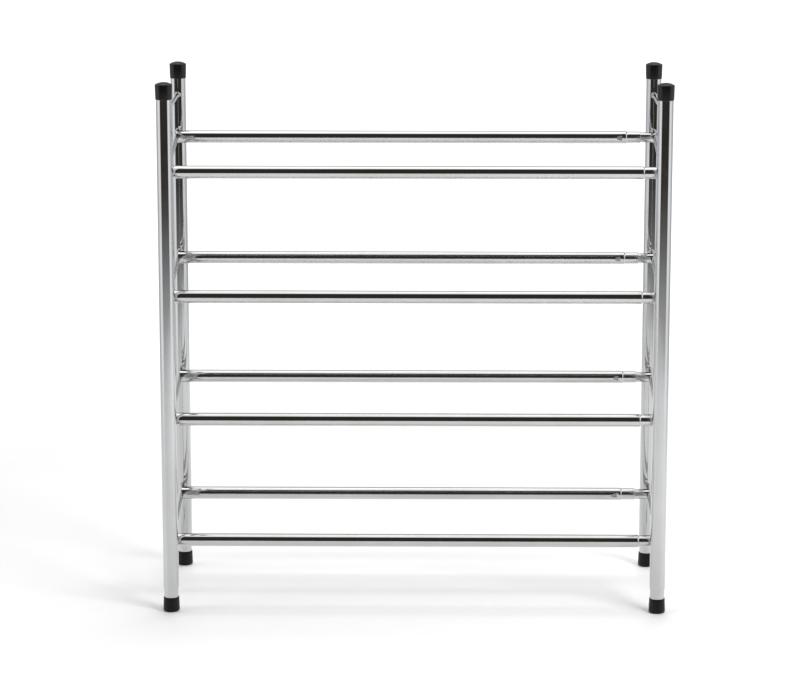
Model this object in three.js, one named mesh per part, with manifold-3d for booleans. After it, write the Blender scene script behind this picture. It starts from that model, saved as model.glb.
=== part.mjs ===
// Tiered shoe rack: two chromed end frames joined by eight telescoping rails.
// Four sloping tiers, each a low front rail and a higher rear rail. Every rail is an outer tube
// welded to the left end frame and a thinner inner tube, welded to the right one, that slides in
// the outer tube's swaged neck, so the rack pulls out to a wider one.
//
// Millimetres. +X runs along the rails to the right, +Y to the rear and +Z up. The origin is on
// the floor, under the middle of the rack. Tiers are counted from the lowest one up.

import * as THREE from 'three';
import { mergeVertices } from 'three/addons/utils/BufferGeometryUtils.js';
import Module from 'manifold-3d';

const wasm = await Module();
wasm.setup();

// ---- Driving dimensions ----------------------------------------------------------------------

const LEG_SPACING_WIDE = 601; // between leg axes, left to right
const LEG_SPACING_DEEP = 208; // between leg axes, front to rear
const OVERALL_HEIGHT = 658;

const TIER_COUNT = 4;
const TIER_PITCH = 154.2;
const LOWEST_FRONT_RAIL_HEIGHT = 81.5;
const FRONT_RAIL_SETBACK = 33; // rail axis behind the front leg axis
const RAIL_SPACING = 142; // front rail axis to rear rail axis, level
const REAR_RAIL_RISE = 23; // rear rail axis above the front one
const CROSSBAR_HEIGHT = 617;

const LEG = { radius: 9.5, wall: 0.6, swagedRadius: 8.75, swageTop: 28, swageRun: 3 };
const ROD = { radius: 2.5 };
const CAP = { height: 21, roof: 2.4, domeRise: 2.6, shoulderRadius: 10.6, mouthRadius: 10.2, edge: 0.8 };
const FOOT = { height: 18, sole: 3, rimRadius: 9.6, lowRadius: 10.2, edge: 2.4 };
const OUTER_TUBE = { radius: 7.9, wall: 0.6 };
const OUTER_TUBE_LENGTH = { front: 596, rear: 582.5 }; // neck included
const NECK = { radius: 7.3, length: 16.5, shoulder: 1.8 }; // swaged end that guides the inner tube
const INNER_TUBE = { length: 530, radius: 6.35, wall: 0.5 };
const GLIDE = { headRadius: 7, headLength: 4, spigotLength: 14 };

const WELD_GAP = 0.3; // left between a piece and the one it is welded to
const SLEEVE_GAP = 0.2; // radial, between a pushed-on cap, foot or plug and its tube

const LEG_SIDES = 20;
const RAIL_SIDES = 16;
const ROD_SIDES = 12;
const ARC_STEPS = 4;
const MERGE_DISTANCE = 1e-4; // corners closer than this are one corner

// ---- Worked out from them --------------------------------------------------------------------

const frameX = LEG_SPACING_WIDE / 2;
const legY = LEG_SPACING_DEEP / 2;
const frontRailY = -legY + FRONT_RAIL_SETBACK;
const rearRailY = frontRailY + RAIL_SPACING;
const tierAngle = Math.atan2(REAR_RAIL_RISE, RAIL_SPACING);
const legTop = OVERALL_HEIGHT - CAP.roof - CAP.domeRise - SLEEVE_GAP;
const legBottom = FOOT.sole + SLEEVE_GAP;

// Tier rods pass through both rail axes. This is the height of their middle above the front rail.
const rodMiddleLift = -frontRailY * Math.tan(tierAngle);

// ---- Materials -------------------------------------------------------------------------------

const chrome = () => new THREE.MeshStandardMaterial({ color: 0xd9dbdd, roughness: 0.06, metalness: 1 });
const capPlastic = () => new THREE.MeshStandardMaterial({ color: 0x151515, roughness: 0.45, metalness: 0 });
const footRubber = () => new THREE.MeshStandardMaterial({ color: 0x121212, roughness: 0.7, metalness: 0 });
const glideNylon = () => new THREE.MeshStandardMaterial({ color: 0xd8d6cf, roughness: 0.5, metalness: 0 });

// ---- Shape helpers ---------------------------------------------------------------------------

const point = (radius, height) => new THREE.Vector2(radius, height);

// Quarter-ellipse from (fromRadius, fromHeight) to (toRadius, toHeight). It leaves the first point
// along the radius when turnsUp is true, and along the height when it is false.
function arcPoints(fromRadius, fromHeight, toRadius, toHeight, turnsUp) {
  const points = [];
  for (let step = 0; step <= ARC_STEPS; step += 1) {
    const angle = (step / ARC_STEPS) * (Math.PI / 2);
    const alongRadius = turnsUp ? Math.sin(angle) : 1 - Math.cos(angle);
    const alongHeight = turnsUp ? 1 - Math.cos(angle) : Math.sin(angle);
    const radius = fromRadius + (toRadius - fromRadius) * alongRadius;
    const height = fromHeight + (toHeight - fromHeight) * alongHeight;
    points.push(point(radius, height));
  }
  return points;
}

// Solid of revolution about Z. The profile goes round counter-clockwise: up the outside wall.
function turnedUpright(profile, sides) {
  return new THREE.LatheGeometry(profile, sides).rotateX(Math.PI / 2);
}

// Solid of revolution about X. Heights in the profile run to +X, or to -X when side is -1.
function turnedAlongX(profile, sides, side) {
  return new THREE.LatheGeometry(profile, sides).rotateZ((-side * Math.PI) / 2);
}

// Closed wall under an outside outline, a list of points going up.
function wallProfile(outside, wall) {
  const bore = outside.map((corner) => point(corner.x - wall, corner.y));
  const down = [...bore].reverse();
  return [bore[0], ...outside, ...down];
}

function toManifold(geometry) {
  const bare = geometry.clone();
  bare.deleteAttribute('normal');
  bare.deleteAttribute('uv');
  const merged = mergeVertices(bare, MERGE_DISTANCE);
  const vertProperties = new Float32Array(merged.attributes.position.array);
  const triVerts = new Uint32Array(merged.index.array);
  return new wasm.Manifold(new wasm.Mesh({ numProp: 3, vertProperties, triVerts }));
}

function toGeometry(solid) {
  const mesh = solid.getMesh();
  const geometry = new THREE.BufferGeometry();
  geometry.setAttribute('position', new THREE.BufferAttribute(new Float32Array(mesh.vertProperties), 3));
  geometry.setIndex(new THREE.BufferAttribute(new Uint32Array(mesh.triVerts), 1));
  geometry.computeVertexNormals();
  return geometry;
}

// The geometry with the cutters' shapes taken out of it.
function cut(geometry, cutters) {
  let solid = toManifold(geometry);
  for (const cutter of cutters) {
    solid = solid.subtract(toManifold(cutter));
  }
  return toGeometry(solid);
}

// A round bar through the end frame's plane from front to rear, tilted up to the rear by angle.
function crossBar(radius, length, sides, angle) {
  return new THREE.CylinderGeometry(radius, radius, length, sides).rotateX(angle);
}

function named(name, geometry, material) {
  const mesh = new THREE.Mesh(geometry, material);
  mesh.name = name;
  return mesh;
}

// ---- Pieces ----------------------------------------------------------------------------------

// Leg tube, open at both ends. Its lower end is swaged down to take the foot.
function legGeometry() {
  const outside = [
    point(LEG.swagedRadius, legBottom),
    point(LEG.swagedRadius, LEG.swageTop),
    point(LEG.radius, LEG.swageTop + LEG.swageRun),
    point(LEG.radius, legTop),
  ];
  return turnedUpright(wallProfile(outside, LEG.wall), LEG_SIDES);
}

// Push-on cap with a domed top. It widens a little towards its shoulder.
function capGeometry() {
  const mouth = OVERALL_HEIGHT - CAP.height;
  const shoulder = OVERALL_HEIGHT - CAP.domeRise;
  const boreRadius = LEG.radius + SLEEVE_GAP;
  const boreTop = legTop + SLEEVE_GAP;
  const profile = [
    point(0, boreTop),
    point(boreRadius, boreTop),
    point(boreRadius, mouth),
    point(CAP.mouthRadius, mouth),
    point(CAP.shoulderRadius, shoulder - CAP.edge),
    point(CAP.shoulderRadius - CAP.edge / 2, shoulder),
  ];
  for (let step = 1; step <= ARC_STEPS; step += 1) {
    const outwards = 1 - step / ARC_STEPS;
    const radius = (CAP.shoulderRadius - CAP.edge / 2) * outwards;
    profile.push(point(radius, OVERALL_HEIGHT - CAP.domeRise * outwards * outwards));
  }
  return turnedUpright(profile, LEG_SIDES);
}

// Cup foot over the swaged leg end, with a flat underside and a rounded lower edge.
function footGeometry() {
  const boreRadius = LEG.swagedRadius + SLEEVE_GAP;
  const profile = [
    point(0, 0),
    ...arcPoints(FOOT.lowRadius - FOOT.edge, 0, FOOT.lowRadius, FOOT.edge, true),
    point(FOOT.rimRadius, FOOT.height),
    point(boreRadius, FOOT.height),
    point(boreRadius, FOOT.sole),
    point(0, FOOT.sole),
  ];
  return turnedUpright(profile, LEG_SIDES);
}

// Rod between a front and a rear leg, its ends coped to the legs. Its middle is at the origin.
function rodGeometry(angle) {
  const rod = crossBar(ROD.radius, LEG_SPACING_DEEP, ROD_SIDES, angle);
  const cutters = [-legY, legY].map((y) => {
    const leg = crossBar(LEG.radius + WELD_GAP, LEG_SPACING_DEEP, LEG_SIDES, Math.PI / 2);
    return leg.translate(0, y, 0);
  });
  return cut(rod, cutters);
}

// The tier rod's clearance at a rail end: it leaves a saddle that sits round the rod.
const saddleCutter = () => crossBar(ROD.radius + WELD_GAP, LEG_SPACING_DEEP, ROD_SIDES, tierAngle);

// Outer rail tube from its saddle at the origin to the mouth of its swaged neck at +X.
function outerTubeGeometry(length) {
  const neckStart = length - NECK.length;
  const outside = [
    point(OUTER_TUBE.radius, 0),
    point(OUTER_TUBE.radius, neckStart - NECK.shoulder),
    point(NECK.radius, neckStart),
    point(NECK.radius, length),
  ];
  return cut(turnedAlongX(wallProfile(outside, OUTER_TUBE.wall), RAIL_SIDES, 1), [saddleCutter()]);
}

// Inner rail tube from its saddle at the origin to its open end at -X.
function innerTubeGeometry() {
  const outside = [point(INNER_TUBE.radius, 0), point(INNER_TUBE.radius, INNER_TUBE.length)];
  return cut(turnedAlongX(wallProfile(outside, INNER_TUBE.wall), RAIL_SIDES, -1), [saddleCutter()]);
}

// Glide plug in the inner tube's hidden end: a spigot in its bore and a head that runs in the
// outer tube. The origin is at the tube's end face, and the head points to -X.
function glideGeometry() {
  const spigotRadius = INNER_TUBE.radius - INNER_TUBE.wall - SLEEVE_GAP;
  const profile = [
    point(0, -GLIDE.spigotLength),
    point(spigotRadius, -GLIDE.spigotLength),
    point(spigotRadius, WELD_GAP),
    point(GLIDE.headRadius, WELD_GAP),
    point(GLIDE.headRadius, WELD_GAP + GLIDE.headLength),
    point(0, WELD_GAP + GLIDE.headLength),
  ];
  return turnedAlongX(profile, RAIL_SIDES, -1);
}

// ---- Assembly --------------------------------------------------------------------------------

// Legs with caps and feet, the top crossbar and the tier rods, in the plane x = 0.
function endFrame(side) {
  const frame = new THREE.Group();
  for (const [end, y] of [['front', -legY], ['rear', legY]]) {
    const corner = new THREE.Group();
    corner.position.y = y;
    corner.add(named(`${side}_${end}_leg`, legGeometry(), chrome()));
    corner.add(named(`${side}_${end}_cap`, capGeometry(), capPlastic()));
    corner.add(named(`${side}_${end}_foot`, footGeometry(), footRubber()));
    frame.add(corner);
  }
  const crossbar = named(`${side}_top_crossbar`, rodGeometry(0), chrome());
  crossbar.position.z = CROSSBAR_HEIGHT;
  frame.add(crossbar);
  for (let tier = 1; tier <= TIER_COUNT; tier += 1) {
    const rod = named(`${side}_tier_${tier}_rod`, rodGeometry(tierAngle), chrome());
    rod.position.z = frontRailHeight(tier) + rodMiddleLift;
    frame.add(rod);
  }
  return frame;
}

function frontRailHeight(tier) {
  return LOWEST_FRONT_RAIL_HEIGHT + (tier - 1) * TIER_PITCH;
}

// Calls place(label, end, y, z) with the axis of each of the eight rails.
function forEachRail(place) {
  for (let tier = 1; tier <= TIER_COUNT; tier += 1) {
    const height = frontRailHeight(tier);
    place(`tier_${tier}_front`, 'front', frontRailY, height);
    place(`tier_${tier}_rear`, 'rear', rearRailY, height + REAR_RAIL_RISE);
  }
}

const leftSection = endFrame('left');
leftSection.position.x = -frameX;
forEachRail((label, end, y, z) => {
  const tube = named(`${label}_outer_tube`, outerTubeGeometry(OUTER_TUBE_LENGTH[end]), chrome());
  tube.position.set(0, y, z);
  leftSection.add(tube);
});

const rightSection = endFrame('right');
rightSection.position.x = frameX;
forEachRail((label, end, y, z) => {
  const tube = named(`${label}_inner_tube`, innerTubeGeometry(), chrome());
  tube.position.set(0, y, z);
  rightSection.add(tube);
  const glide = named(`${label}_glide`, glideGeometry(), glideNylon());
  glide.position.set(-INNER_TUBE.length, y, z);
  rightSection.add(glide);
});

const shoeRack = new THREE.Group();
shoeRack.name = 'tiered_shoe_rack';
shoeRack.add(leftSection, rightSection);

export default shoeRack;
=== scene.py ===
"""Looks of the tiered shoe rack: two chromed end frames joined by eight telescoping rails.

Every CAD node is replaced by a finer mesh in the same place. Metres, +Z up, origin on the floor.
"""

import math

import bmesh
import bpy
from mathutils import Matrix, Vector


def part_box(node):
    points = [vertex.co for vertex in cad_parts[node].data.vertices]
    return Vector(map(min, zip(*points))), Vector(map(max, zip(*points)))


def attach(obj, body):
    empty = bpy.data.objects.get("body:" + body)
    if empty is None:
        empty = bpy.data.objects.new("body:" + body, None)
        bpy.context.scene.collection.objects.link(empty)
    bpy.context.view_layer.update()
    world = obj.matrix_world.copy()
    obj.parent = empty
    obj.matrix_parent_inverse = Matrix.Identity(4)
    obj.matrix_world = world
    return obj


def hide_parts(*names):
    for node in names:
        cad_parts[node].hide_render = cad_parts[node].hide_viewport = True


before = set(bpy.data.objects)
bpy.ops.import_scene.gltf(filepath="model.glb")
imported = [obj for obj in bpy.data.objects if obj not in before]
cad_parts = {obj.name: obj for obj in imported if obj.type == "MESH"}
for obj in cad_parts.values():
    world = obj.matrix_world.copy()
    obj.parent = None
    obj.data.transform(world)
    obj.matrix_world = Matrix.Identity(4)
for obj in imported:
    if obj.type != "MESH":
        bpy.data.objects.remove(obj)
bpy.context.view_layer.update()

MM = 0.001

SIDES = ("left", "right")
ENDS = ("front", "rear")
TIERS = (1, 2, 3, 4)
BODY_OF_SIDE = {"left": "left_section", "right": "right_section"}

LEG_SIDES = 72
RAIL_SIDES = 64
ROD_SIDES = 32
ARC_STEPS = 8
CRIMP_STEPS = 32
SADDLE_STEPS = 6

# ---- Sizes that the boxes of the CAD nodes give ----------------------------------------------


def middle(node):
    low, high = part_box(node)
    return (low + high) / 2


def width(node, axis):
    low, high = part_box(node)
    return (high - low)[axis]


X, Y, Z = 0, 1, 2
LEG_RADIUS = width("left_front_leg", X) / 2
CAP_RADIUS = width("left_front_cap", X) / 2
FOOT_RADIUS = width("left_front_foot", X) / 2
ROD_RADIUS = width("left_top_crossbar", X) / 2
OUTER_RADIUS = width("tier_1_front_outer_tube", Z) / 2
INNER_RADIUS = width("tier_1_front_inner_tube", Z) / 2
GLIDE_RADIUS = width("tier_1_front_glide", Z) / 2
FRAME_X = {side: middle(f"{side}_front_leg").x for side in SIDES}
LEG_Y = {end: middle(f"left_{end}_leg").y for end in ENDS}
OVERALL_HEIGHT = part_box("left_front_cap")[1].z
CAP_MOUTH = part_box("left_front_cap")[0].z
FOOT_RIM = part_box("left_front_foot")[1].z

# ---- Sizes that the boxes don't give ---------------------------------------------------------

LEG_WALL = 0.6 * MM
SWAGED_RADIUS = 8.75 * MM
SWAGE_LOW = 27 * MM
SWAGE_HIGH = 32 * MM
OUTER_WALL = 0.6 * MM
INNER_WALL = 0.5 * MM
NECK_RADIUS = 7.3 * MM
NECK_LENGTH = 16.5 * MM
NECK_SHOULDER = 1.8 * MM
GROOVE_RADIUS = 7.0 * MM
GROOVE_RISE = 1.2 * MM
GROOVE_WALL = 0.5 * MM
CRIMP_LENGTH = 14 * MM
SADDLE_REACH = 7 * MM
SADDLE_END = 8 * MM
LEG_BEAD = 1.5 * MM
RAIL_BEAD = 1.1 * MM
EDGE = 0.25 * MM

# ---- Mesh helpers ----------------------------------------------------------------------------


def arc(centre, radii, start, end, steps=ARC_STEPS):
    """Points of an elliptical arc, as (radius, height) pairs. Angles are in degrees."""
    points = []
    for step in range(steps + 1):
        angle = math.radians(start + (end - start) * step / steps)
        points.append((centre[0] + radii[0] * math.cos(angle), centre[1] + radii[1] * math.sin(angle)))
    return points


def s_curve(low, high, steps=ARC_STEPS):
    """Points of a smooth step from one (radius, height) to another."""
    points = []
    for step in range(steps + 1):
        t = step / steps
        ease = t * t * (3 - 2 * t)
        points.append((low[0] + (high[0] - low[0]) * ease, low[1] + (high[1] - low[1]) * t))
    return points


def piece_from(name, vertices, faces, sharp_degrees=40):
    """A smooth-shaded object, with its normals made to point out."""
    mesh = bpy.data.meshes.new(name)
    mesh.from_pydata([tuple(v) for v in vertices], [], faces)
    work = bmesh.new()
    work.from_mesh(mesh)
    bmesh.ops.remove_doubles(work, verts=work.verts, dist=1e-7)
    bmesh.ops.recalc_face_normals(work, faces=work.faces)
    work.to_mesh(mesh)
    work.free()
    mesh.shade_smooth()
    mesh.set_sharp_from_angle(angle=math.radians(sharp_degrees))
    piece = bpy.data.objects.new(name, mesh)
    bpy.context.scene.collection.objects.link(piece)
    return piece


def standing(side, end):
    """place(radius, height, angle) of a piece that is turned about one leg's axis."""

    def place(radius, height, angle):
        return (FRAME_X[side] + radius * math.cos(angle), LEG_Y[end] + radius * math.sin(angle), height)

    return place


def revolve(name, profile, sides, place, closed, sharp_degrees=40):
    """Turns a profile of (radius, height) pairs. place(radius, height, angle) gives each vertex.

    A closed profile joins its last point to its first one. An open one starts and ends on the axis.
    """
    vertices = []
    faces = []
    count = len(profile)
    for side in range(sides):
        angle = 2 * math.pi * side / sides
        vertices += [place(radius, height, angle) for radius, height in profile]
    last = count if closed else count - 1
    for side in range(sides):
        here = side * count
        there = ((side + 1) % sides) * count
        for step in range(last):
            after = (step + 1) % count
            faces.append((here + step, there + step, there + after, here + after))
    return piece_from(name, vertices, faces, sharp_degrees)


def finish_piece(piece, side, material, nodes=()):
    """Gives a piece its material and its body, and hides the CAD nodes that it stands for."""
    piece.data.materials.append(material)
    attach(piece, BODY_OF_SIDE[side])
    if nodes:
        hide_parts(*nodes)


# ---- Material helpers ------------------------------------------------------------------------


class Nodes:
    """Short calls for building the node tree of a material or a world."""

    def __init__(self, owner):
        owner.use_nodes = True
        self.tree = owner.node_tree

    def add(self, kind, **settings):
        node = self.tree.nodes.new(kind)
        for key, value in settings.items():
            setattr(node, key, value)
        return node

    def link(self, out_socket, in_socket):
        self.tree.links.new(out_socket, in_socket)

    def feed(self, name, value):
        """Links an output to the surface shader's named input, or sets that input to a value."""
        socket = self.tree.nodes["Principled BSDF"].inputs[name]
        if isinstance(value, bpy.types.NodeSocket):
            self.link(value, socket)
        else:
            socket.default_value = value

    def place(self, stretch=(1, 1, 1)):
        """Object coordinates, each axis multiplied by its stretch."""
        coordinates = self.add("ShaderNodeTexCoord")
        mapping = self.add("ShaderNodeMapping")
        mapping.inputs["Scale"].default_value = stretch
        self.link(coordinates.outputs["Object"], mapping.inputs["Vector"])
        return mapping.outputs["Vector"]

    def noise(self, place, scale, detail, roughness=0.55):
        texture = self.add("ShaderNodeTexNoise")
        texture.inputs["Scale"].default_value = scale
        texture.inputs["Detail"].default_value = detail
        texture.inputs["Roughness"].default_value = roughness
        self.link(place, texture.inputs["Vector"])
        return texture.outputs["Fac"]

    def remap(self, value, from_range, to_range=(0, 1), interpolation="LINEAR"):
        node = self.add("ShaderNodeMapRange", interpolation_type=interpolation)
        node.inputs["From Min"].default_value = from_range[0]
        node.inputs["From Max"].default_value = from_range[1]
        node.inputs["To Min"].default_value = to_range[0]
        node.inputs["To Max"].default_value = to_range[1]
        self.link(value, node.inputs["Value"])
        return node.outputs["Result"]

    def mix_colour(self, factor, low, high):
        """Goes from low to high, each a colour or another node's output."""
        node = self.add("ShaderNodeMix", data_type="RGBA")
        self.link(factor, node.inputs["Factor"])
        for key, value in (("A", low), ("B", high)):
            if isinstance(value, tuple):
                node.inputs[key].default_value = (*value, 1)
            else:
                self.link(value, node.inputs[key])
        return node.outputs["Result"]

    def calculate(self, operation, *values):
        """A maths node, each of whose values is a number or another node's output."""
        node = self.add("ShaderNodeMath", operation=operation)
        for socket, value in zip(node.inputs, values):
            if isinstance(value, (int, float)):
                socket.default_value = value
            else:
                self.link(value, socket)
        return node.outputs[0]

    def bump(self, height, distance, strength, under=None):
        node = self.add("ShaderNodeBump")
        node.inputs["Distance"].default_value = distance
        node.inputs["Strength"].default_value = strength
        self.link(height, node.inputs["Height"])
        if under is not None:
            self.link(under, node.inputs["Normal"])
        return node.outputs["Normal"]


def drawn_out(along, across_scale, along_scale):
    """The stretch of a pattern that is drawn out along one axis."""
    stretch = [across_scale] * 3
    stretch[along] = along_scale
    return tuple(stretch)


def chrome_material(name, along, rough_range=(0.035, 0.085), line_strength=0.12):
    """Bright chrome plate on drawn tube: faint draw lines along the tube, soft haze and ripple."""
    clean_plate = (0.555, 0.56, 0.57)
    grimy_plate = (0.50, 0.50, 0.495)
    material = bpy.data.materials.new(name)
    nodes = Nodes(material)
    place = nodes.place()
    haze = nodes.noise(place, scale=55, detail=4)
    grime = nodes.noise(place, scale=9, detail=5, roughness=0.65)
    line_place = nodes.place(drawn_out(along, across_scale=900, along_scale=6))
    lines = nodes.noise(line_place, scale=1, detail=2)
    wave_place = nodes.place(drawn_out(along, across_scale=45, along_scale=8))
    waves = nodes.noise(wave_place, scale=1, detail=1)

    grimy_share = nodes.remap(grime, (0.35, 0.7))
    nodes.feed("Base Color", nodes.mix_colour(grimy_share, clean_plate, grimy_plate))
    nodes.feed("Metallic", 1.0)
    nodes.feed("Roughness", nodes.remap(haze, (0.3, 0.75), rough_range))
    waved = nodes.bump(waves, distance=0.4 * MM, strength=0.1)
    nodes.feed("Normal", nodes.bump(lines, distance=0.01 * MM, strength=line_strength, under=waved))
    return material


def weld_material(name):
    """Chromed weld metal: ripples and pits under the plate, a little duller than the tube."""
    low_plate = (0.42, 0.41, 0.40)
    high_plate = (0.56, 0.56, 0.57)
    material = bpy.data.materials.new(name)
    nodes = Nodes(material)
    place = nodes.place()
    lumps = nodes.noise(place, scale=700, detail=2)
    pits = nodes.noise(place, scale=2600, detail=3)

    nodes.feed("Base Color", nodes.mix_colour(nodes.remap(pits, (0.35, 0.65)), low_plate, high_plate))
    nodes.feed("Metallic", 1.0)
    nodes.feed("Roughness", nodes.remap(pits, (0.3, 0.7), (0.10, 0.24)))
    lumpy = nodes.bump(lumps, distance=0.5 * MM, strength=0.7)
    nodes.feed("Normal", nodes.bump(pits, distance=0.08 * MM, strength=0.4, under=lumpy))
    return material


def moulded_material(name, dark, light, rough_range, grain_depth, specular):
    """Moulded plastic or rubber: fine spark-eroded grain, cloudy sheen and slightly uneven colour."""
    material = bpy.data.materials.new(name)
    nodes = Nodes(material)
    place = nodes.place()
    grain = nodes.noise(place, scale=2400, detail=2)
    cloud = nodes.noise(place, scale=120, detail=4)

    nodes.feed("Base Color", nodes.mix_colour(nodes.remap(cloud, (0.35, 0.7)), dark, light))
    nodes.feed("Roughness", nodes.remap(cloud, (0.3, 0.7), rough_range))
    nodes.feed("Specular IOR Level", specular)
    nodes.feed("Normal", nodes.bump(grain, distance=grain_depth, strength=0.5))
    return material


CHROME_LEG = chrome_material("chrome_leg_tube", Z)
CHROME_RAIL = chrome_material("chrome_rail_tube", X)
CHROME_NECK = chrome_material("chrome_swaged_neck", X, rough_range=(0.12, 0.2), line_strength=0.3)
CHROME_ROD = chrome_material("chrome_rod", Y)
CHROME_WELD = weld_material("chrome_weld")
CAP_PLASTIC = moulded_material(
    "cap_plastic",
    dark=(0.003, 0.003, 0.003),
    light=(0.0045, 0.0045, 0.004),
    rough_range=(0.25, 0.33),
    grain_depth=0.02 * MM,
    specular=0.3,
)
FOOT_RUBBER = moulded_material(
    "foot_rubber",
    dark=(0.003, 0.003, 0.003),
    light=(0.005, 0.005, 0.0045),
    rough_range=(0.36, 0.48),
    grain_depth=0.03 * MM,
    specular=0.22,
)
GLIDE_NYLON = moulded_material(
    "glide_nylon",
    dark=(0.62, 0.61, 0.56),
    light=(0.70, 0.69, 0.65),
    rough_range=(0.35, 0.5),
    grain_depth=0.02 * MM,
    specular=0.5,
)

# ---- Legs, caps and feet ---------------------------------------------------------------------


def make_leg(side, end):
    """Leg tube with a swaged lower end and eased edges."""
    node = f"{side}_{end}_leg"
    low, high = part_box(node)
    bore = LEG_RADIUS - LEG_WALL
    swaged_bore = SWAGED_RADIUS - LEG_WALL
    profile = [
        (SWAGED_RADIUS - EDGE, low.z),
        (SWAGED_RADIUS, low.z + EDGE),
        *s_curve((SWAGED_RADIUS, SWAGE_LOW), (LEG_RADIUS, SWAGE_HIGH)),
        (LEG_RADIUS, high.z - EDGE),
        (LEG_RADIUS - EDGE, high.z),
        (bore, high.z),
        *s_curve((bore, SWAGE_HIGH), (swaged_bore, SWAGE_LOW)),
        (swaged_bore, low.z),
    ]
    leg = revolve(f"{node}_tube", profile, LEG_SIDES, standing(side, end), closed=True)
    finish_piece(leg, side, CHROME_LEG, [node])


def make_cap(side, end):
    """Push-on cap: low dome, eased shoulder, side tapering to a rounded mouth."""
    node = f"{side}_{end}_cap"
    dome_rise = 2.5 * MM
    dome_power = 2.2
    dome_steps = 14
    corner = 0.7 * MM
    taper = 0.45 * MM
    lip = 0.8 * MM
    lead_in = 0.2 * MM
    slip = 0.1 * MM
    roof = 2.2 * MM
    shoulder = OVERALL_HEIGHT - dome_rise
    dome_base = CAP_RADIUS - corner
    bore = LEG_RADIUS + slip
    dome = []
    for step in range(dome_steps + 1):
        outwards = 1 - step / dome_steps
        dome.append((dome_base * outwards, OVERALL_HEIGHT - dome_rise * outwards**dome_power))
    profile = [
        (0, shoulder - roof),
        (bore, shoulder - roof),
        (bore, CAP_MOUTH + lead_in),
        *arc((CAP_RADIUS - taper - lip, CAP_MOUTH + lip), (lip, lip), -70, 0, steps=6),
        *arc((dome_base, shoulder - corner), (corner, corner), 5, 75, steps=6),
        *dome,
    ]
    place = standing(side, end)
    cap = revolve(f"{node}_moulding", profile, LEG_SIDES, place, closed=False, sharp_degrees=60)
    finish_piece(cap, side, CAP_PLASTIC, [node])


def make_foot(side, end):
    """Cup foot: thin rim round the swaged leg end, rounded lower edge and a grooved underside."""
    node = f"{side}_{end}_foot"
    edge = 2.4 * MM
    taper = 0.6 * MM
    rim_edge = 0.35 * MM
    slip = 0.05 * MM
    sole = 3 * MM
    groove_radii = (2.6 * MM, 5.2 * MM)
    groove_half = 0.45 * MM
    groove_slope = 0.2 * MM
    groove_depth = 0.5 * MM
    rim = FOOT_RADIUS - taper
    bore = SWAGED_RADIUS + slip
    grooves = []
    for radius in groove_radii:
        grooves += [
            (radius - groove_half - groove_slope, 0),
            (radius - groove_half, groove_depth),
            (radius + groove_half, groove_depth),
            (radius + groove_half + groove_slope, 0),
        ]
    profile = [
        (0, 0),
        *grooves,
        *arc((FOOT_RADIUS - edge, edge), (edge, edge), -90, 0),
        *arc((rim - rim_edge, FOOT_RIM - rim_edge), (rim_edge, rim_edge), 0, 90, steps=4),
        (bore, FOOT_RIM),
        (bore, sole),
        (0, sole),
    ]
    foot = revolve(f"{node}_moulding", profile, LEG_SIDES, standing(side, end), closed=False)
    finish_piece(foot, side, FOOT_RUBBER, [node])


# ---- Rods and crossbars ----------------------------------------------------------------------


def rod_line(node):
    """A point on a rod's axis halfway between the legs, and the axis as a unit vector to the rear."""
    low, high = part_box(node)
    run = high.y - low.y
    rise = (high.z - low.z) - 2 * ROD_RADIUS
    tilt = math.atan2(max(rise, 0), run)
    return (low + high) / 2, Vector((0, math.cos(tilt), math.sin(tilt)))


def upwards(along):
    """The direction square to a rod in its end frame's plane: up where along runs to the rear."""
    return along.cross(Vector((1, 0, 0))) * -1


def leg_surface(origin, along, end):
    """distance(x, q): how far along from origin a line offset by x and q meets that leg's face.

    q is counted in the direction that upwards(along) gives.
    """
    up = upwards(along)
    towards = 1 if end == "rear" else -1

    def distance(x, q):
        face_y = LEG_Y[end] - towards * math.sqrt(LEG_RADIUS**2 - x**2)
        return (face_y - origin.y - q * up.y) / along.y

    return distance


def make_rod(side, node):
    """Round rod from the front leg's face to the rear one's, coped to both."""
    origin, along = rod_line(node)
    origin.x = FRAME_X[side]
    up = upwards(along)
    surfaces = [leg_surface(origin, along, end) for end in ENDS]
    vertices = []
    faces = []
    for turn in range(ROD_SIDES):
        angle = 2 * math.pi * turn / ROD_SIDES
        x = ROD_RADIUS * math.cos(angle)
        q = ROD_RADIUS * math.sin(angle)
        for surface in surfaces:
            vertices.append(origin + Vector((x, 0, 0)) + up * q + along * surface(x, q))
    for turn in range(ROD_SIDES):
        here = 2 * turn
        there = 2 * ((turn + 1) % ROD_SIDES)
        faces.append((here, here + 1, there + 1, there))
    for end in (0, 1):
        centre = len(vertices)
        vertices.append(origin + along * surfaces[end](0, 0))
        for turn in range(ROD_SIDES):
            faces.append((centre, 2 * turn + end, 2 * ((turn + 1) % ROD_SIDES) + end))
    rod = piece_from(f"{node}_bar", vertices, faces)
    finish_piece(rod, side, CHROME_ROD, [node])
    return origin, along


# ---- Welds -----------------------------------------------------------------------------------


def bead_section(throat):
    """Outline of a bead, as pairs of radius from the rod's axis and distance off the face."""
    steps = 5
    sink = 0.35 * MM
    section = [(ROD_RADIUS - sink, throat), (ROD_RADIUS, throat)]
    for step in range(1, steps):
        angle = math.pi / 2 * step / steps
        section.append((ROD_RADIUS + throat * math.sin(angle), throat * math.cos(angle)))
    section += [(ROD_RADIUS + throat, 0), (ROD_RADIUS + throat, -sink), (ROD_RADIUS - sink, -sink)]
    return section


def bead_lumps(angle, seed):
    """How much thicker or thinner than its mean size a bead is at an angle."""
    slow_ripple = 0.2 * math.sin(3 * angle + seed)
    quick_ripple = 0.12 * math.sin(7 * angle + 2.3 * seed)
    return 1 + slow_ripple + quick_ripple


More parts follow.
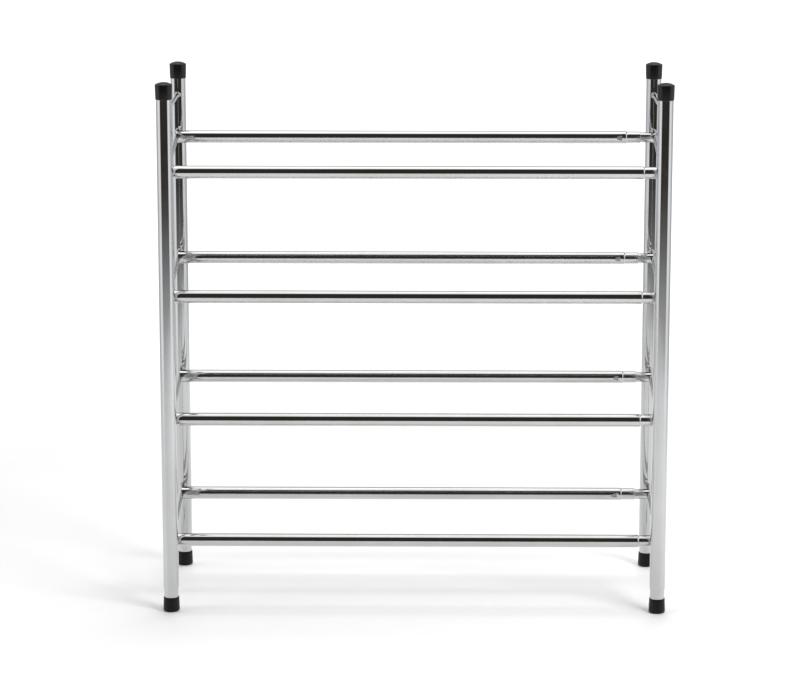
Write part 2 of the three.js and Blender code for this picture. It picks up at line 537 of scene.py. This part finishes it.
def weld_bead(origin, across, along, surface, size, seed, half_turn=False):
    """Vertices and faces of a bead of weld in the corner between a rod and the face it meets.

    across is the direction at angle 0, and surface(x, q) is the distance along to the face. A
    whole bead goes right round the rod. A half one thins out to its two tips.
    """
    up = along.cross(across)
    turns = 40
    half_span = 100
    tip_share = 0.02
    bead_rings = []
    for turn in range(turns + (1 if half_turn else 0)):
        share = turn / turns
        angle = math.radians(-half_span + 2 * half_span * share) if half_turn else 2 * math.pi * share
        taper = math.sqrt(max(tip_share, math.sin(math.pi * share))) if half_turn else 1
        points = []
        for radius, stand_off in bead_section(size * taper * bead_lumps(angle, seed)):
            x = radius * math.cos(angle)
            q = radius * math.sin(angle)
            points.append(origin + across * x + up * q + along * (surface(x, q) - stand_off))
        bead_rings.append(points)
    vertices = [point for points in bead_rings for point in points]
    count = len(bead_rings[0])
    faces = []
    spans = len(bead_rings) - 1 if half_turn else len(bead_rings)
    for turn in range(spans):
        here = turn * count
        there = ((turn + 1) % len(bead_rings)) * count
        for step in range(count):
            after = (step + 1) % count
            faces.append((here + step, here + after, there + after, there + step))
    if half_turn:
        faces.append(tuple(range(count)))
        faces.append(tuple(reversed(range(spans * count, (spans + 1) * count))))
    return vertices, faces


def join_beads(beads):
    vertices = []
    faces = []
    for bead_vertices, bead_faces in beads:
        start = len(vertices)
        vertices += bead_vertices
        faces += [tuple(start + corner for corner in face) for face in bead_faces]
    return vertices, faces


def leg_welds(origin, along, seed):
    """The two beads that join a rod to its front and rear leg.

    Known fault: leg_surface and weld_bead count q in opposite directions. On a sloping rod, one
    side of each bead sinks up to 1.7 mm into the leg and the other stands 0.3 to 1 mm off it. On
    the level crossbars it makes no difference.
    """
    beads = []
    for number, end in enumerate(ENDS):
        outwards = along if end == "rear" else along * -1
        surface = leg_surface(origin, outwards, end)
        across = Vector((1, 0, 0))
        beads.append(weld_bead(origin, across, outwards, surface, LEG_BEAD, seed + number))
    return beads


def rail_welds(rail_axis, along, inwards, tube_radius, seed):
    """The beads that join a rail's saddle to the rod, one where the rod comes out on each side."""

    def surface(x, q):
        return math.sqrt(max(tube_radius**2 - q**2, 0))

    beads = []
    for number, outwards in enumerate((along, along * -1)):
        across = Vector((inwards, 0, 0))
        bead = weld_bead(rail_axis, across, outwards, surface, RAIL_BEAD, seed + number, half_turn=True)
        beads.append(bead)
    return beads


# ---- Rails -----------------------------------------------------------------------------------


def rings(radius, start, end, count):
    """Evenly spaced profile points along a straight wall, so that it can be dented or coped."""
    return [(radius, start + (end - start) * step / count) for step in range(count + 1)]


def no_dent(height, angle):
    return 0


def crimp(start, length, facing):
    """depth(height, angle) of the wedge-shaped dent in a tube's side, facing +Y or -Y.

    It widens and deepens from its start towards the mouth, and runs out at the neck's shoulder.
    """
    dent_depth = 0.85 * MM
    narrow_degrees = 15
    wide_degrees = 29
    deepest = 0.8

    def depth(height, angle):
        share = (height - start) / length
        if share <= 0 or share >= 1:
            return 0
        off_side = math.degrees(math.acos(max(-1, min(1, facing * math.cos(angle)))))
        half_width = narrow_degrees + (wide_degrees - narrow_degrees) * share
        rise = min(1, share / deepest)
        fall = min(1, (1 - share) / (1 - deepest))
        along = rise * rise * (3 - 2 * rise) * fall * fall * (3 - 2 * fall)
        return dent_depth * along * math.exp(-((off_side / half_width) ** 4))

    return depth


def saddled_tube(name, axis_point, inwards, profile, rod_along, dent=no_dent):
    """A tube along X from the end frame's plane, its start coped to the rod it is welded to."""
    up = upwards(rod_along)

    def place(radius, height, angle):
        radius -= dent(height, angle)
        offset = Vector((0, radius * math.cos(angle), radius * math.sin(angle)))
        q = offset.dot(up)
        notch = math.sqrt(max(ROD_RADIUS**2 - q**2, 0))
        pull = max(0, 1 - height / SADDLE_REACH)
        return axis_point + offset + Vector((inwards * (height + notch * pull), 0, 0))

    return revolve(name, profile, RAIL_SIDES, place, closed=True)


def saddle_wall(radius):
    """The stretch of a tube's outside next to its saddle, with rings enough for the coping."""
    return rings(radius, 0, SADDLE_END, SADDLE_STEPS)


def roughen_neck(tube, neck_start):
    """Gives the swaged neck its duller plate, as the tube's second material."""
    tube.data.materials.append(CHROME_NECK)
    for face in tube.data.polygons:
        if face.center.x > neck_start:
            face.material_index = 1


def make_outer_tube(label, rod_along):
    """Outer rail tube. Its mouth end is a swaged neck, set off by a rolled groove.

    A crimp that stops the glide runs up to the neck's shoulder, on the side that faces the inside
    of the rack.
    """
    node = f"{label}_outer_tube"
    axis = middle(node)
    axis_point = Vector((FRAME_X["left"], axis.y, axis.z))
    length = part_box(node)[1].x - FRAME_X["left"]
    groove = length - NECK_LENGTH
    shoulder = groove - NECK_SHOULDER
    neck = groove + GROOVE_RISE
    crimp_start = shoulder - CRIMP_LENGTH
    bore = OUTER_RADIUS - OUTER_WALL
    groove_bore = GROOVE_RADIUS - GROOVE_WALL
    neck_bore = NECK_RADIUS - OUTER_WALL
    profile = [
        *saddle_wall(OUTER_RADIUS),
        *rings(OUTER_RADIUS, crimp_start, shoulder, CRIMP_STEPS)[:-1],
        *s_curve((OUTER_RADIUS, shoulder), (GROOVE_RADIUS, groove))[:-1],
        *s_curve((GROOVE_RADIUS, groove), (NECK_RADIUS, neck)),
        (NECK_RADIUS, length - EDGE),
        (NECK_RADIUS - EDGE, length),
        (neck_bore, length),
        *s_curve((neck_bore, neck), (groove_bore, groove))[:-1],
        *s_curve((groove_bore, groove), (bore, shoulder))[:-1],
        *rings(bore, shoulder, crimp_start, CRIMP_STEPS),
        (bore, SADDLE_REACH),
        (bore, 0),
    ]
    facing = 1 if axis_point.y < 0 else -1
    dent = crimp(crimp_start, CRIMP_LENGTH, facing)
    tube = saddled_tube(f"{node}_rail", axis_point, 1, profile, rod_along, dent)
    finish_piece(tube, "left", CHROME_RAIL, [node])
    roughen_neck(tube, FRAME_X["left"] + groove)
    return axis_point


def make_inner_tube(label, rod_along):
    """Inner rail tube, from its saddle to the open end that takes the glide."""
    node = f"{label}_inner_tube"
    axis = middle(node)
    axis_point = Vector((FRAME_X["right"], axis.y, axis.z))
    length = FRAME_X["right"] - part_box(node)[0].x
    bore = INNER_RADIUS - INNER_WALL
    profile = [
        *saddle_wall(INNER_RADIUS),
        (INNER_RADIUS, length - EDGE),
        (INNER_RADIUS - EDGE, length),
        (bore, length),
        (bore, SADDLE_REACH),
        (bore, 0),
    ]
    tube = saddled_tube(f"{node}_rail", axis_point, -1, profile, rod_along)
    finish_piece(tube, "right", CHROME_RAIL, [node])
    return axis_point


def make_glide(label):
    """Nylon plug in the inner tube's hidden end, with a rounded head and a ribbed spigot."""
    node = f"{label}_glide"
    axis = middle(node)
    head_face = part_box(node)[0].x
    length = width(node, X)
    head_length = 4 * MM
    head_edge = 0.8 * MM
    slip = 0.15 * MM
    rib_count = 3
    first_rib = 2.5 * MM
    rib_pitch = 3.5 * MM
    rib_height = 0.6 * MM
    rib_half = 0.8 * MM
    tip_length = 1 * MM
    tip_taper = 0.8 * MM
    rib_radius = INNER_RADIUS - INNER_WALL - slip
    core = rib_radius - rib_height
    ribs = []
    for number in range(rib_count):
        height = head_length + first_rib + rib_pitch * number
        ribs += arc((core, height), (rib_height, rib_half), -90, 90, steps=6)
    profile = [
        (0, 0),
        *arc((GLIDE_RADIUS - head_edge, head_edge), (head_edge, head_edge), -90, 0, steps=5),
        (GLIDE_RADIUS, head_length),
        (core, head_length),
        *ribs,
        (core, length - tip_length),
        (core - tip_taper, length),
        (0, length),
    ]

    def place(radius, height, angle):
        return (head_face + height, axis.y + radius * math.cos(angle), axis.z + radius * math.sin(angle))

    glide = revolve(f"{node}_plug", profile, ROD_SIDES, place, closed=False)
    finish_piece(glide, "right", GLIDE_NYLON, [node])


# ---- The rack --------------------------------------------------------------------------------


def make_end_frame(side):
    """Legs, caps, feet and crossbar of one end frame, with the crossbar's welds."""
    for end in ENDS:
        make_leg(side, end)
        make_cap(side, end)
        make_foot(side, end)
    origin, along = make_rod(side, f"{side}_top_crossbar")
    vertices, faces = join_beads(leg_welds(origin, along, seed=0.7))
    welds = piece_from(f"{side}_top_crossbar_welds", vertices, faces, 70)
    finish_piece(welds, side, CHROME_WELD)


def make_tier(tier):
    """Both rods of a tier, its front and rear rail, and the welds of each side."""
    rods = {side: make_rod(side, f"{side}_tier_{tier}_rod") for side in SIDES}
    beads = {side: leg_welds(*rods[side], seed=tier + 0.4 * len(side)) for side in SIDES}
    for end in ENDS:
        label = f"tier_{tier}_{end}"
        left_axis = make_outer_tube(label, rods["left"][1])
        right_axis = make_inner_tube(label, rods["right"][1])
        make_glide(label)
        seed = 1.9 * tier + len(end)
        beads["left"] += rail_welds(left_axis, rods["left"][1], 1, OUTER_RADIUS, seed)
        beads["right"] += rail_welds(right_axis, rods["right"][1], -1, INNER_RADIUS, seed + 3)
    for side in SIDES:
        vertices, faces = join_beads(beads[side])
        welds = piece_from(f"{side}_tier_{tier}_welds", vertices, faces, 70)
        finish_piece(welds, side, CHROME_WELD)


for each_side in SIDES:
    make_end_frame(each_side)
for each_tier in TIERS:
    make_tier(each_tier)

# ---- Studio ----------------------------------------------------------------------------------


def make_floor():
    """Round floor of pale paper, which fades out towards its rim."""
    paper = (0.69, 0.69, 0.687, 1)
    sheen = 0.42
    radius = 1.7
    fade_start = 0.9
    sides = 96
    below_feet = 0.2 * MM
    rim = []
    for turn in range(sides):
        angle = 2 * math.pi * turn / sides
        rim.append((radius * math.cos(angle), radius * math.sin(angle), 0))
    floor = piece_from("studio_floor", rim, [tuple(range(sides))])
    floor.location.z = -below_feet

    material = bpy.data.materials.new("studio_floor_paper")
    nodes = Nodes(material)
    nodes.feed("Base Color", paper)
    nodes.feed("Roughness", sheen)
    from_middle = nodes.add("ShaderNodeVectorMath", operation="LENGTH")
    nodes.link(nodes.place(), from_middle.inputs[0])
    nodes.feed("Alpha", nodes.remap(from_middle.outputs["Value"], (fade_start, radius), (1, 0)))
    floor.data.materials.append(material)


def softbox(name, place, aim, size, power):
    """Square soft light. It lights the rack, but its own shape isn't mirrored in the chrome."""
    light = bpy.data.lights.new(name, "AREA")
    light.shape = "SQUARE"
    light.size = size
    light.energy = power
    lamp = bpy.data.objects.new(name, light)
    lamp.visible_glossy = False
    bpy.context.scene.collection.objects.link(lamp)
    lamp.location = place
    lamp.rotation_euler = (Vector(aim) - Vector(place)).to_track_quat("-Z", "Y").to_euler()


def make_world():
    """Studio room by direction: bright above and beside, greyer behind, dark in front.

    Angles are in degrees, from the front or from the horizon. The camera itself sees plain white.
    """
    front_and_side = (0.98, 0.99, 1.0)
    rear_side = (0.52, 0.53, 0.54)
    rear = (0.46, 0.47, 0.48)
    ceiling = (1.65, 1.64, 1.62)
    dark_screen = (0.034, 0.031, 0.026)
    backdrop = (1, 1, 1)
    strength = 1.25
    side_turns_grey = (84, 118)
    rear_turns_greyer = (150, 172)
    wall_meets_ceiling = (44, 60)
    screen_side_edge = (51, 63)
    screen_foot_edge = (-18, -9)
    screen_top_edge = (60, 84)

    world = bpy.data.worlds.new("studio_world")
    bpy.context.scene.world = world
    nodes = Nodes(world)
    nodes.tree.nodes.clear()

    def soft_edge(value, edge):
        start, end = edge
        return nodes.remap(value, (math.radians(start), math.radians(end)), interpolation="SMOOTHSTEP")

    direction = nodes.add("ShaderNodeSeparateXYZ")
    nodes.link(nodes.add("ShaderNodeTexCoord").outputs["Generated"], direction.inputs[0])
    to_x, to_y, to_z = direction.outputs
    elevation = nodes.calculate("ARCSINE", to_z)
    ahead = nodes.calculate("MULTIPLY", to_y, -1)
    off_front = nodes.calculate("ABSOLUTE", nodes.calculate("ARCTAN2", to_x, ahead))

    sides = nodes.mix_colour(soft_edge(off_front, side_turns_grey), front_and_side, rear_side)
    walls = nodes.mix_colour(soft_edge(off_front, rear_turns_greyer), sides, rear)
    bright_room = nodes.mix_colour(soft_edge(elevation, wall_meets_ceiling), walls, ceiling)

    in_front = nodes.calculate("SUBTRACT", 1, soft_edge(off_front, screen_side_edge))
    above_foot = soft_edge(elevation, screen_foot_edge)
    below_top = nodes.calculate("SUBTRACT", 1, soft_edge(elevation, screen_top_edge))
    on_screen = nodes.calculate("MULTIPLY", nodes.calculate("MULTIPLY", in_front, above_foot), below_top)
    room = nodes.mix_colour(on_screen, bright_room, dark_screen)

    to_camera = nodes.add("ShaderNodeLightPath").outputs["Is Camera Ray"]
    background = nodes.add("ShaderNodeBackground")
    background.inputs["Strength"].default_value = strength
    nodes.link(nodes.mix_colour(to_camera, room, backdrop), background.inputs["Color"])
    nodes.link(background.outputs[0], nodes.add("ShaderNodeOutputWorld").inputs[0])


def make_camera():
    """A long lens in front of the rack, looking slightly down."""
    target = Vector((-0.0186, 0, 0.3244))
    azimuth = math.radians(-0.7)
    elevation = math.radians(11.91)
    distance = 3.855
    lens = 138.7
    sensor_width = 36
    level = math.cos(elevation)
    back = Vector((-math.sin(azimuth) * level, -math.cos(azimuth) * level, math.sin(elevation)))
    data = bpy.data.cameras.new("camera")
    data.lens = lens
    data.sensor_width = sensor_width
    camera = bpy.data.objects.new("camera", data)
    bpy.context.scene.collection.objects.link(camera)
    camera.location = target + back * distance
    camera.rotation_euler = (back * -1).to_track_quat("-Z", "Y").to_euler()
    bpy.context.scene.camera = camera


make_floor()
softbox("key_light", place=(1.6, -1.6, 2.2), aim=(0, 0, 0), size=1.1, power=66)
softbox("top_softbox", place=(0.1, 0.75, 2.3), aim=(0, 0.05, 0), size=0.9, power=22)
make_world()
make_camera()
bpy.context.scene.view_settings.view_transform = "Standard"
